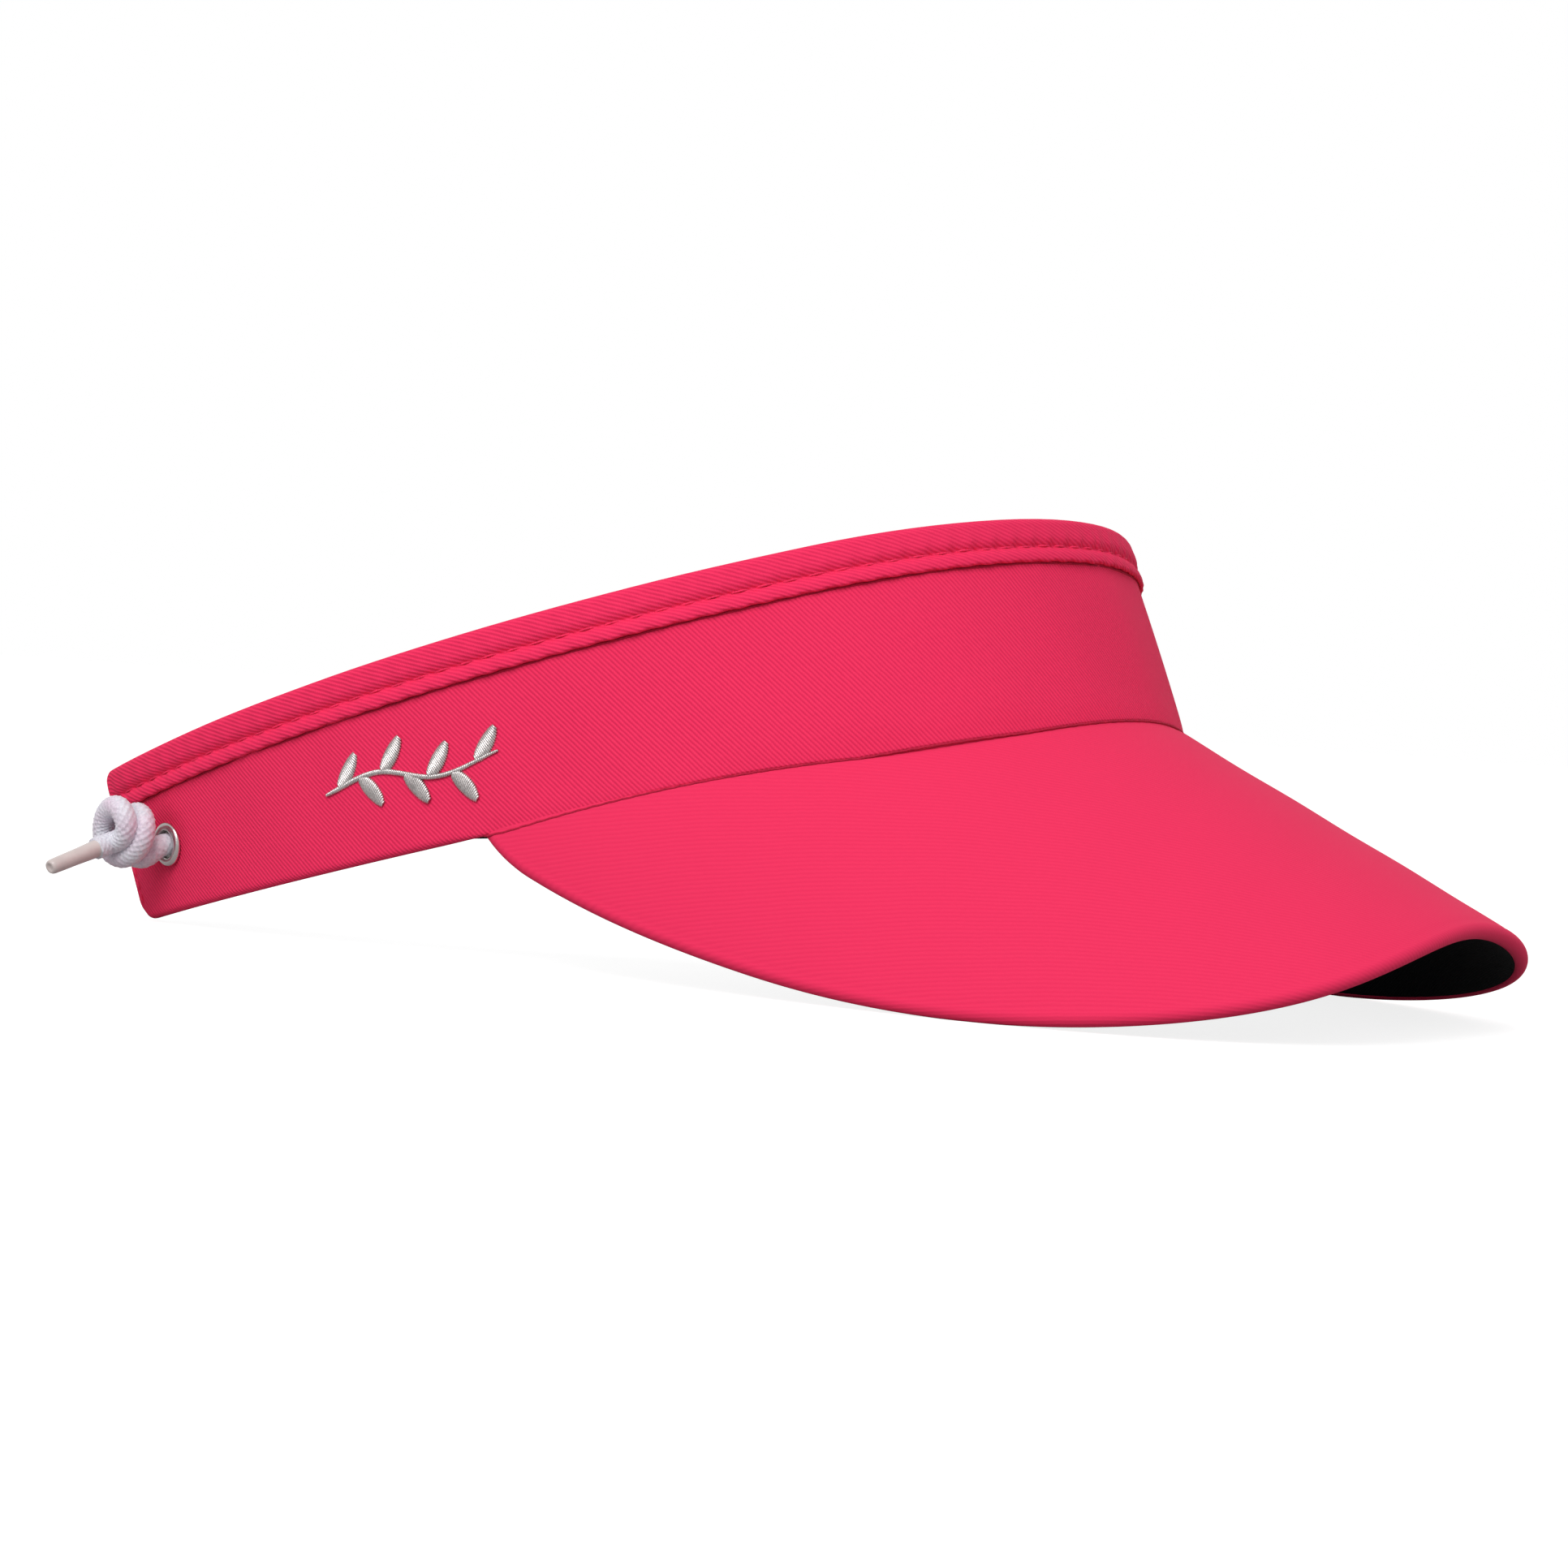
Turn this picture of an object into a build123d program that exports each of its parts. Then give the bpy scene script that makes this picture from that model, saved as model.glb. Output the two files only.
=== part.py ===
"""Sun visor: a stiffened open headband, an arched brim and a curly elastic lace through two eyelets.

Row frame: +Z up, the brim points to -Y, the wearer's left is +X. The visor stands on the
brim's two low edges and on the headband's two rear corners, with the origin on that surface.
The headband is laid out in its own tilted plane. A place on its wall is given by a facing
angle (0 at the front, positive to the left, the way that the wall faces), an inset from its
outer face and a height above the band plane.
"""

import os
from math import cos, radians, sin, tan

from build123d import *

# Headband plan
front_radius = 70.8
side_radius = 170.4
temple_facing = 54.8
end_facing = 111.2
band_front = Vector(0, -63.3, 53.4)
band_tilt = 23.9
# Headband edges: height at the front, then slope and curve for each 100 mm rearwards
lower_edge = (0.0, 9.1, 2.2)
upper_edge = (42.2, 6.7, 0.6)
corner_radius = 4.5
top_corner_radius = 3.0
# Headband layers, as insets from the outer face
cover_thickness = 0.7
interfacing_inset = 1.5
interfacing_rise = 1.0
tape_inset = 1.9
tape_facing = 77.0
tape_rise = 9.0
lining_inset = 3.4
lining_rise = 0.8
fold_height = 1.2
# Binding over the top edge
binding_proud = 1.3
binding_height = 9.0
filler_proud = 0.7
filler_rise = 0.6
filler_drop = 1.8
# Flexing wings
hinge_facing = 91.0
hinge_gap_facing = 0.2
# Brim
brim_slope = 24.9
arch_radius = 88.9
arch_rise = 0.6
brim_cover_depth = 0.6
brim_foam_depth = 1.4
brim_board_depth = 2.8
brim_depth = 3.3
brim_rim = 1.2
brim_middle = Vector(10, 20)
seam_gap = 0.1
# Eyelets and lace
eyelet_facing = 105.5
eyelet_height = 36.2
barrel_outer_radius = 3.1
barrel_inner_radius = 2.7
flange_radius = 4.2
flange_thickness = 0.9
flange_round = 0.4
washer_gap = 0.1
lace_radius = 2.1
lace_gap = 0.4
tail_start = -1.5
tail_exit = 2.4
curl_end = 14.2
curl_middle = (-0.8, 4.1)
curl_radius = 7.9
aglet_base = (-1.3, 1.5, 13.2)
aglet_direction = (0, -0.25, 0.97)
aglet_length = 14.0
aglet_round = 0.5
aglet_base_radius = 1.85
aglet_tip_radius = 1.45
back_coil_radius = 3.2
lead_length = 7.0
# Motif: a sprig in satin stitch, laid out about its own middle
motif_facing = -83.0
motif_height = 27.0
motif_turn = -10.0
motif_half_span = 11.0
motif_thickness = 0.5
stem_points = ((-20, -0.8), (-8, 1.6), (6, -1.4), (19, 1.4))
stem_width = 1.4
leaf_shares = (0.09, 0.22, 0.35, 0.48, 0.61, 0.74, 0.87)
leaf_radii = (3.8, 1.65)
leaf_step = (2.3, 3.2)
leaf_lean = 50.0

tilt = radians(band_tilt)
slope = radians(brim_slope)
band_plane = Plane(origin=band_front, x_dir=(1, 0, 0), z_dir=(0, sin(tilt), cos(tilt)))
side_plane = Plane(origin=band_front, x_dir=(0, cos(tilt), -sin(tilt)), z_dir=(1, 0, 0))
profile_plane = Plane(origin=band_front, x_dir=(0, 1, 0), z_dir=(1, 0, 0))
arch_plane = Plane(
    origin=band_front + Vector(0, 0, arch_rise),
    x_dir=(-1, 0, 0),
    z_dir=(0, cos(slope), sin(slope)),
)
# Lengths that reach past the object, for cutting
below_band = 5.0
through = 12.0
margin = 1.0
side_reach = 100.0
wall_reach = 85.0
brim_reach = 140.0
profile_top = 80.0
far = 400.0
edge_stations = (-10, 100, 215)


def side_centre(side):
    """Centre of the gentle arc of one side, in the band plane. side is 1 at the left."""
    temple = radians(temple_facing)
    spread = front_radius - side_radius
    return (side * spread * sin(temple), front_radius - spread * cos(temple))


def wall_point(facing, inset):
    """Point of the wall's line in the band plane."""
    angle = radians(facing)
    if abs(facing) <= temple_facing:
        centre, radius = (0, front_radius), front_radius
    else:
        centre, radius = side_centre(1 if facing > 0 else -1), side_radius
    reach = radius - inset
    return Vector(centre[0] + reach * sin(angle), centre[1] - reach * cos(angle))


def wall_line(inset, start, end):
    """Arcs of the wall's line between two facing angles, moved inwards by inset."""
    stretches = (
        (-180, -temple_facing, side_centre(-1), side_radius),
        (-temple_facing, temple_facing, (0, front_radius), front_radius),
        (temple_facing, 180, side_centre(1), side_radius),
    )
    for low, high, centre, radius in stretches:
        first = max(start, low)
        last = min(end, high)
        if last > first:
            CenterArc(centre, radius - inset, first - 90, last - first)


def wall_strip(outer, inner, start, end):
    """Face between two insets of the wall, closed at both facing angles."""
    with BuildLine() as outline:
        wall_line(outer, start, end)
        wall_line(inner, start, end)
        for facing in (start, end):
            Line(wall_point(facing, outer), wall_point(facing, inner))
    make_face(outline.edges())


def edge_point(edge, rearward, shift):
    """Point of a headband edge in the side view."""
    share = rearward / 100
    return Vector(rearward, edge[0] + edge[1] * share + edge[2] * share**2 + shift)


def side_window(low_edge, low_shift, high_edge, high_shift):
    """Side view of the wall between two edges that are each shifted up or down."""
    low = [edge_point(low_edge, v, low_shift) for v in edge_stations]
    high = [edge_point(high_edge, v, high_shift) for v in edge_stations]
    with BuildLine() as outline:
        ThreePointArc(*low)
        Line(low[-1], high[-1])
        ThreePointArc(*reversed(high))
        Line(high[0], low[0])
    make_face(outline.edges())


def wall_plane(facing, height, inset=0.0):
    """Plane on the wall: x along it, y up it and z out of it."""
    angle = radians(facing)
    place = wall_point(facing, inset)
    origin = band_plane.from_local_coords(Vector(place.X, place.Y, height))
    along = band_plane.x_dir * cos(angle) + band_plane.y_dir * sin(angle)
    outward = band_plane.x_dir * sin(angle) - band_plane.y_dir * cos(angle)
    return Plane(origin=origin, x_dir=along, z_dir=outward)


def wall_piece(span, insets, low, high):
    """One layer of the wall: span and insets in plan, low and high edges in side view."""
    with BuildPart() as piece:
        with BuildSketch(band_plane.offset(-below_band)):
            wall_strip(*insets, *span)
        extrude(amount=wall_reach)
        with BuildSketch(side_plane):
            side_window(*low, *high)
        extrude(amount=side_reach, both=True, mode=Mode.INTERSECT)
    return piece.part


def rear_corners(piece, thickness):
    """The short edges across the wall's thickness at its rear end, the lower one first."""
    short = piece.edges().filter_by(lambda edge: edge.length < 1.3 * thickness)
    return short.sort_by(Axis.Y)[-2:].sort_by(Axis.Z)


def save(part, label):
    """Labels a finished piece and writes it."""
    part.label = label
    export_step(part, f"parts/{label}.step")


def save_pair(part, stem):
    """Writes a right-hand piece and its mirror image."""
    save(part, f"right_{stem}")
    with BuildPart() as mirrored:
        mirror(part, about=Plane.YZ)
    save(mirrored.part, f"left_{stem}")


os.makedirs("parts", exist_ok=True)

# Headband: the front between the two flexing lines, and the right wing behind one of them
front_span = (-hinge_facing + hinge_gap_facing, hinge_facing - hinge_gap_facing)
wing_span = (-end_facing, -hinge_facing - hinge_gap_facing)
layers = {
    "cover": ((0, cover_thickness), (lower_edge, 0), (upper_edge, -fold_height)),
    "interfacing": (
        (cover_thickness, interfacing_inset),
        (lower_edge, interfacing_rise),
        (upper_edge, -fold_height),
    ),
    "lining": ((tape_inset, lining_inset), (lower_edge, lining_rise), (upper_edge, 0)),
}
eyelet_plane = wall_plane(-eyelet_facing, eyelet_height)
for name, (insets, low, high) in layers.items():
    save(wall_piece(front_span, insets, low, high), f"band_{name}_front")
    with BuildPart() as wing_layer:
        add(wall_piece(wing_span, insets, low, high))
        corners = rear_corners(wing_layer, insets[1] - insets[0])
        fillet(corners[0], corner_radius)
        corners = rear_corners(wing_layer, insets[1] - insets[0])
        fillet(corners[-1], top_corner_radius)
        with BuildSketch(eyelet_plane):
            Circle(barrel_outer_radius)
        extrude(amount=through, both=True, mode=Mode.SUBTRACT)
    save_pair(wing_layer.part, f"band_{name}")

# Binding: a folded strip over the top edge, with a filler under its outer leg
for label, span in (("front", front_span), ("wing", wing_span)):
    filler = wall_piece(
        span,
        (-filler_proud, 0),
        (upper_edge, filler_rise - binding_height),
        (upper_edge, -filler_drop),
    )
    core_low = (upper_edge, -binding_height - margin)
    core = wall_piece(span, (0, lining_inset), core_low, (upper_edge, -fold_height))
    insets = (-binding_proud, tape_inset)
    with BuildPart() as binding:
        add(wall_piece(span, insets, (upper_edge, -binding_height), (upper_edge, 0)))
        add(core, mode=Mode.SUBTRACT)
        add(filler, mode=Mode.SUBTRACT)
    if label == "front":
        save(filler, "binding_filler_front")
        save(binding.part, "binding_front")
    else:
        save_pair(filler, "binding_filler")
        save_pair(binding.part, "binding")

# Tape over the seam allowance where the brim is sewn to the headband
seam_tape = wall_piece(
    (-tape_facing, tape_facing),
    (interfacing_inset, tape_inset),
    (lower_edge, interfacing_rise),
    (lower_edge, tape_rise),
)
save(seam_tape, "brim_seam_tape")

# Brim: layers of one arch whose straight lines run forwards and down.
# The profile is its edge in the side view, from the front's middle to the tip beside the wing,
# as arcs that each go through three points.
brim_profile = (
    (-70.5, -32.2),
    (-66.0, -39.5),
    (-58.5, -44.3),
    (-44.0, -49.3),
    (-24.0, -52.5),
    (0.0, -53.3),
    (28.0, -50.7),
    (60.0, -43.2),
    (99.0, -28.4),
)


def set_back(point, rim):
    """A point of the brim's side view, moved by rim towards the middle of the brim."""
    inwards = brim_middle - point
    return point + inwards * (rim / inwards.length)


def brim_piece(top, bottom, rim, seam_shift):
    """One layer of the brim between two depths, set back by rim and cut along its seam."""
    with BuildPart() as piece:
        with BuildSketch(arch_plane):
            with Locations((0, -arch_radius)):
                Circle(arch_radius - top)
                Circle(arch_radius - bottom, mode=Mode.SUBTRACT)
                Rectangle(far, far, align=(Align.CENTER, Align.MAX), mode=Mode.SUBTRACT)
        extrude(amount=brim_reach, both=True)
        with BuildSketch(profile_plane):
            with BuildLine():
                points = [set_back(Vector(*point), rim) for point in brim_profile]
                for first in range(0, len(points) - 1, 2):
                    ThreePointArc(*points[first : first + 3])
                front, tip = points[0], points[-1]
                Polyline(tip, (tip.X, profile_top), (front.X, profile_top), front)
            make_face()
        extrude(amount=side_reach, both=True, mode=Mode.INTERSECT)
        with BuildSketch(side_plane):
            with BuildLine():
                seam = [edge_point(lower_edge, v, seam_shift) for v in edge_stations]
                ThreePointArc(*seam)
                low_corners = ((seam[-1].X, -brim_reach), (-brim_reach, -brim_reach))
                Polyline(seam[-1], *low_corners, (-brim_reach, seam[0].Y), seam[0])
            make_face()
        extrude(amount=side_reach, both=True, mode=Mode.INTERSECT)
    return piece.part


below_cover = brim_piece(brim_cover_depth, brim_depth + margin, brim_rim, margin)
with BuildPart() as brim_top_cover:
    add(brim_piece(0, brim_depth, 0, -seam_gap))
    add(below_cover, mode=Mode.SUBTRACT)
save(brim_top_cover.part, "brim_top_cover")
for layer, top, bottom in (
    ("foam", brim_cover_depth, brim_foam_depth),
    ("board", brim_foam_depth, brim_board_depth),
    ("under_cover", brim_board_depth, brim_depth),
):
    save(brim_piece(top, bottom, brim_rim, -seam_gap), f"brim_{layer}")

# Eyelets: a flanged barrel from outside and a washer inside, which it is rolled over
washer_plane = eyelet_plane.offset(-lining_inset - washer_gap)
outwards = Axis(eyelet_plane.origin, eyelet_plane.z_dir)
with BuildPart() as eyelet:
    with BuildSketch(eyelet_plane):
        Circle(flange_radius)
    extrude(amount=flange_thickness)
    fillet(eyelet.faces().sort_by(outwards)[-1].edges(), flange_round)
    with BuildSketch(eyelet_plane):
        Circle(barrel_outer_radius)
    extrude(amount=-lining_inset - washer_gap - flange_thickness)
    with BuildSketch(eyelet_plane):
        Circle(barrel_inner_radius)
    extrude(amount=through, both=True, mode=Mode.SUBTRACT)
save_pair(eyelet.part, "eyelet")

with BuildPart() as eyelet_washer:
    with BuildSketch(washer_plane):
        Circle(flange_radius)
        Circle(barrel_outer_radius, mode=Mode.SUBTRACT)
    extrude(amount=-flange_thickness)
save_pair(eyelet_washer.part, "eyelet_washer")

# Lace tail: straight out of the eyelet, then the coil that stops it slipping back
with BuildPart() as lace_tail:
    with BuildSketch(eyelet_plane.offset(tail_start)):
        Circle(lace_radius)
    extrude(amount=tail_exit - tail_start)
save_pair(lace_tail.part, "lace_tail")

with BuildPart() as lace_curl:
    with BuildSketch(eyelet_plane.offset(tail_exit)):
        with Locations(curl_middle):
            Circle(curl_radius)
    extrude(amount=curl_end - tail_exit)
    fillet(lace_curl.edges(), lace_radius)
save_pair(lace_curl.part, "lace_curl")

# Aglet: the moulded tip, outwards and down from the end of the coil
aglet_start = eyelet_plane.from_local_coords(aglet_base)
aglet_run = (eyelet_plane.from_local_coords(aglet_direction) - eyelet_plane.origin).normalized()
with BuildPart() as aglet:
    with BuildSketch(Plane(origin=aglet_start, z_dir=aglet_run)):
        Circle(aglet_base_radius)
    with BuildSketch(Plane(origin=aglet_start + aglet_run * aglet_length, z_dir=aglet_run)):
        Circle(aglet_tip_radius)
    loft()
    fillet(aglet.faces().sort_by(Axis(aglet_start, aglet_run))[-1].edges(), aglet_round)
save_pair(aglet.part, "aglet")

# Back lace: one half from the right eyelet to the middle, drawn as the outside of its coil
back_start = tail_start - lace_gap
back_lead = eyelet_plane.from_local_coords((0, 0, back_start - lead_length))
back_route = (
    back_lead,
    Vector(-56, 106.4, 18.6),
    Vector(-37, 105.3, 20.3),
    Vector(-18, 104.8, 21.5),
    Vector(-0.3, 104.6, 21.9),
)


def corner_radii(route):
    """Arc radius at each inner point of a route: 0.45 of the shorter run over tan(half turn)."""
    radii = []
    for before, point, after in zip(route, route[1:], route[2:]):
        first = point - before
        second = after - point
        turn = radians(first.get_angle(second))
        radii.append(0.45 * min(first.length, second.length) / tan(turn / 2))
    return radii


back_radii = corner_radii(back_route)
print("back lace radii", [round(r, 1) for r in back_radii])
with BuildPart() as back_lace:
    with BuildLine() as back_path:
        FilletPolyline(*back_route, radius=back_radii)
    with BuildSketch(Plane(origin=back_path.line @ 0, z_dir=back_path.line % 0)):
        Circle(back_coil_radius)
    sweep(path=back_path.line)
    with BuildSketch(eyelet_plane.offset(back_start)):
        Circle(lace_radius)
    extrude(amount=-lead_length - margin)
save_pair(back_lace.part, "back_lace")

# Side motif: a sprig of raised satin stitch on the right of the headband
with BuildPart() as side_motif:
    with BuildSketch(band_plane.offset(-below_band)):
        low_facing, high_facing = motif_facing - motif_half_span, motif_facing + motif_half_span
        wall_strip(-motif_thickness, 0, low_facing, high_facing)
    extrude(amount=wall_reach)
    with BuildSketch(wall_plane(motif_facing, motif_height).rotated((0, 0, motif_turn))):
        with BuildLine():
            stem = Spline(*stem_points)
        trace(line_width=stem_width)
        for number, share in enumerate(leaf_shares):
            side = 1 if number % 2 == 0 else -1
            root = stem @ share
            middle = (root.X + leaf_step[0], root.Y + side * leaf_step[1], 0)
            with Locations(Location(middle, side * leaf_lean)):
                Ellipse(*leaf_radii)
    extrude(amount=through, both=True, mode=Mode.INTERSECT)
save(side_motif.part, "side_motif")
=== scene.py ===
"""Looks of the sun visor: twill headband, bound top edge, arched brim, eyelets and curly lace.

Everything is in metres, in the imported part's frame. The headband is laid out as in the part:
a place on it is an arc length from the front (positive to the wearer's left), a height above
the band's plane and an inset from its outer face.
"""

import math
import random

import bpy
import numpy as np
from mathutils import Matrix, Vector


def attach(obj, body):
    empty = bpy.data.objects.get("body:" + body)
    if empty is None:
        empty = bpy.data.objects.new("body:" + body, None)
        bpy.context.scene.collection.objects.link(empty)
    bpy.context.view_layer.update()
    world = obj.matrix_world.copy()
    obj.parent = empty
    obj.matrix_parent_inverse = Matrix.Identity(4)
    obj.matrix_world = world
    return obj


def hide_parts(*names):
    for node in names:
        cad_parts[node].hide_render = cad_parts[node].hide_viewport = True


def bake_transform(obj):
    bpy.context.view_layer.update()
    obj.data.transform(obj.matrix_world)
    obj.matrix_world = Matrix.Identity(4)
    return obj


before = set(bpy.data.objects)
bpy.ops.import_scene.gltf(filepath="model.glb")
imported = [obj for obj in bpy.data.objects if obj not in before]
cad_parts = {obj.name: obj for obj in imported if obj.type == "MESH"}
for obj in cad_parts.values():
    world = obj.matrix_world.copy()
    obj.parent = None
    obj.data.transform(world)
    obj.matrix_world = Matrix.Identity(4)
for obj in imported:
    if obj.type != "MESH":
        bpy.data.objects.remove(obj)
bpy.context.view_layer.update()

MM = 0.001

# Headband, as in the part
FRONT_RADIUS = 70.8 * MM
SIDE_RADIUS = 170.4 * MM
TEMPLE = math.radians(54.8)
TEMPLE_REACH = FRONT_RADIUS * TEMPLE
BAND_FRONT = np.array((0.0, -63.3, 53.4)) * MM
TILT = math.radians(23.9)
LOWER_EDGE = (0.0, 9.1, 2.2)
UPPER_EDGE = (42.2, 6.7, 0.6)
END_FACING = math.radians(111.2)
CORNER_RADIUS = 4.5 * MM
TOP_CORNER_RADIUS = 3.0 * MM
WALL = 3.4 * MM
# Binding and its topstitches
BINDING_HEIGHT = 9.0 * MM
STITCH_DROP = 5.85 * MM
STITCH_PITCH = 4.88 * MM
STITCH_RUN = 4.25 * MM
THREAD_RADIUS = 0.21 * MM
REAR_INSET = 2.0 * MM
REAR_PITCH = 2.9 * MM
# Brim, as in the part
BRIM_SLOPE = math.radians(24.9)
ARCH_RADIUS = 88.9 * MM
ARCH_RISE = 0.6 * MM
BRIM_DEPTH = 3.3 * MM
BRIM_HALF_WIDTH = 86.5 * MM
BRIM_BACK = 125.4 * MM
BRIM_REACH = 195.9 * MM
BRIM_ROUNDNESS = 3.2
TIP_FACING = math.radians(79.9)
# How far the pink rim turns under: at the front and the low edges, then in between
RIM_TURN = (math.radians(176), math.radians(126))
# Eyelets and lace, as in the part
EYELET_FACING = math.radians(105.5)
EYELET_HEIGHT = 36.2 * MM
FLANGE_RADIUS = 4.2 * MM
LACE_RADIUS = 2.1 * MM
TAIL_START = -1.5 * MM
BACK_START = -1.9 * MM
BACK_LEAD = -8.9 * MM
AGLET_BASE = Vector((-1.3, 1.5, 13.2)) * MM
AGLET_WAY = Vector((0, -0.25, 0.97)).normalized()
TAIL_COIL = (
    (0, 0, 0), (-0.1, -0.1, 1.6), (-0.6, -0.6, 2.8), (-2.4, -1.5, 4.1), (-4.5, -0.9, 5),
    (-5.3, 1.7, 5.6), (-4, 5, 5.9), (-0.7, 6.9, 6.1), (2.7, 6.3, 6.4), (4.8, 3.7, 7.1),
    (4, 0.7, 7.7), (1.2, -1.1, 8.4), (-2.7, -1.3, 9.3), (-5.6, 1.3, 10), (-5.7, 4.6, 10.4),
    (-3.3, 7.6, 10.7), (0.4, 8.7, 10.9), (3.7, 7.6, 11.1), (4.4, 4.7, 10.9), (3.3, 2.6, 10.6),
    (1.3, 1.7, 10.7), (-0.4, 1.7, 11.4),
)
AGLET_SECTION = (
    (1.72, 0.0), (1.93, 0.05), (1.97, 0.5), (1.88, 1.4), (1.80, 4.0), (1.66, 8.0), (1.54, 12.4),
    (1.46, 13.5), (1.25, 13.95), (0.9, 14.0), (0.45, 13.75), (0.02, 13.7),
)
EYELET_SECTION = (
    (4.15, -0.25), (4.42, 0.05), (4.36, 0.42), (3.95, 0.78), (3.35, 0.92), (2.88, 0.72),
    (2.70, 0.2), (2.70, -1.2), (2.70, -3.4), (2.78, -4.2), (3.2, -4.5), (3.9, -4.35),
    (4.4, -3.95), (4.4, -3.6), (4.1, -3.35),
)
LACE_STRANDS = 8
LACE_TWIST = 6.0
CURL_RADIUS = 1.1 * MM
CURL_PITCH = 22.0 * MM
BACK_ROUTE = (
    (-56, 106.4, 18.6),
    (-37, 105.3, 20.3),
    (-18, 104.8, 21.5),
    (0, 104.6, 21.9),
)
# The photograph's camera, and the light on the floor
CAMERA_TURNS = {"azimuth": -58.98, "elevation": -0.06, "roll": 4.05, "yaw": -1.52, "pitch": -1.38}
CAMERA_PIVOT = Vector((0, -3.3, 53.4)) * MM
CAMERA_DISTANCE = 0.7
CAMERA_LENS = 79.66
FLOOR_TONE = 0.35
FLOOR_GLOW = 0.82
# Motif, as in the part
MOTIF_FACING = math.radians(-83)
MOTIF_HEIGHT = 27.0 * MM
MOTIF_TURN = math.radians(-10)
STEM_POINTS = ((-20, -0.8), (-8, 1.6), (6, -1.4), (19, 1.4))
LEAF_SHARES = (0.09, 0.22, 0.35, 0.48, 0.61, 0.74, 0.87)
LEAF_RADII = (3.8, 1.65)
LEAF_STEP = (2.3, 3.2)
LEAF_LEAN = math.radians(50)
# Where the headband's cloth bends between the front and each wing, as distances rearwards
BEND_START = 106 * MM
BEND_END = 158 * MM
SIDES = {"right": -1, "left": 1}
BACKDROP_WAY = (0.843, 0.538, 0.0)


# ---------------------------------------------------------------- places on the object
def reach_of(facing):
    """Arc length along the wall's outer face up to a facing angle."""
    facing = abs(facing)
    return FRONT_RADIUS * min(facing, TEMPLE) + SIDE_RADIUS * max(0.0, facing - TEMPLE)


END = reach_of(END_FACING)


def facing_at(s):
    """Facing angle at the arc lengths s."""
    reach = np.abs(s)
    near = reach / FRONT_RADIUS
    far = TEMPLE + (reach - TEMPLE_REACH) / SIDE_RADIUS
    return np.sign(s) * np.where(reach < TEMPLE_REACH, near, far)


def plan(s, inset=0.0):
    """Plan position (x, rearward) of the wall at arc lengths s."""
    facing = np.abs(facing_at(s))
    front = facing < TEMPLE
    spread = FRONT_RADIUS - SIDE_RADIUS
    radius = np.where(front, FRONT_RADIUS, SIDE_RADIUS) - inset
    x = np.where(front, 0.0, spread * math.sin(TEMPLE)) + radius * np.sin(facing)
    centre_v = np.where(front, FRONT_RADIUS, FRONT_RADIUS - spread * math.cos(TEMPLE))
    return np.where(s < 0, -x, x), centre_v - radius * np.cos(facing)


def to_frame(x, v, h):
    """Row-frame points from band coordinates."""
    x, v, h = np.broadcast_arrays(x, v, h)
    y = BAND_FRONT[1] + v * math.cos(TILT) + h * math.sin(TILT)
    z = BAND_FRONT[2] - v * math.sin(TILT) + h * math.cos(TILT)
    return np.stack((x, y, z), axis=-1)


def wall(s, h, inset=0.0):
    """Row-frame points on the wall."""
    x, v = plan(np.asarray(s, float), inset)
    return to_frame(x, v, h)


def edge(shape, s):
    """Height of a headband edge at arc lengths s."""
    share = plan(np.asarray(s, float))[1] / (100 * MM)
    return (shape[0] + shape[1] * share + shape[2] * share**2) * MM


def eyelet_frame(side):
    """Matrix of the eyelet's plane: x forwards along the wall, y up, z out of the wall."""
    s = np.array(side * reach_of(EYELET_FACING))
    angle = EYELET_FACING
    up = Vector((0, math.sin(TILT), math.cos(TILT)))
    rearward = Vector((0, math.cos(TILT), -math.sin(TILT)))
    outward = Vector((side * math.sin(angle), 0, 0)) - rearward * math.cos(angle)
    forward = up.cross(outward) * -side
    centre = Vector(wall(s, EYELET_HEIGHT))
    rotation = Matrix((forward, up, outward)).transposed().to_4x4()
    return Matrix.Translation(centre) @ rotation


def ripple(s, h, seed):
    """Slow unevenness of sewn cloth, from -1 to 1."""
    total = np.zeros(np.broadcast(s, h).shape)
    rng = random.Random(seed)
    for wave in (90, 47, 23):
        turn = rng.uniform(0, 3)
        phase = rng.uniform(0, 6)
        along = np.cos(turn) * s + np.sin(turn) * h
        total = total + np.sin(along / (wave * MM) * 2 * math.pi + phase)
    return total / 3


# ---------------------------------------------------------------- mesh helpers
def new_object(name, vertices, faces, uvs=None, material=None):
    """A smooth-shaded mesh object; uvs are per vertex, in metres."""
    mesh = bpy.data.meshes.new(name)
    mesh.from_pydata([tuple(v) for v in vertices], [], faces)
    if uvs is not None:
        layer = mesh.uv_layers.new(name="cloth")
        corners = np.zeros(len(mesh.loops), int)
        mesh.loops.foreach_get("vertex_index", corners)
        layer.data.foreach_set("uv", np.asarray(uvs, np.float32)[corners].ravel())
    mesh.validate()
    mesh.shade_smooth()
    obj = bpy.data.objects.new(name, mesh)
    bpy.context.scene.collection.objects.link(obj)
    if material is not None:
        mesh.materials.append(material)
    return obj


def grid_faces(rows, columns, start=0, flip=False):
    """Quads of a grid of vertices in row order."""
    faces = []
    for r in range(rows - 1):
        below = start + r * columns
        above = below + columns
        for c in range(columns - 1):
            quad = (below + c, below + c + 1, above + c + 1, above + c)
            faces.append(quad[::-1] if flip else quad)
    return faces


def ring_faces(rings, sides):
    """Quads between rings of vertices."""
    faces = []
    for r in range(rings - 1):
        for c in range(sides):
            n = (c + 1) % sides
            faces.append((r * sides + c, r * sides + n, (r + 1) * sides + n, (r + 1) * sides + c))
    return faces


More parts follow.
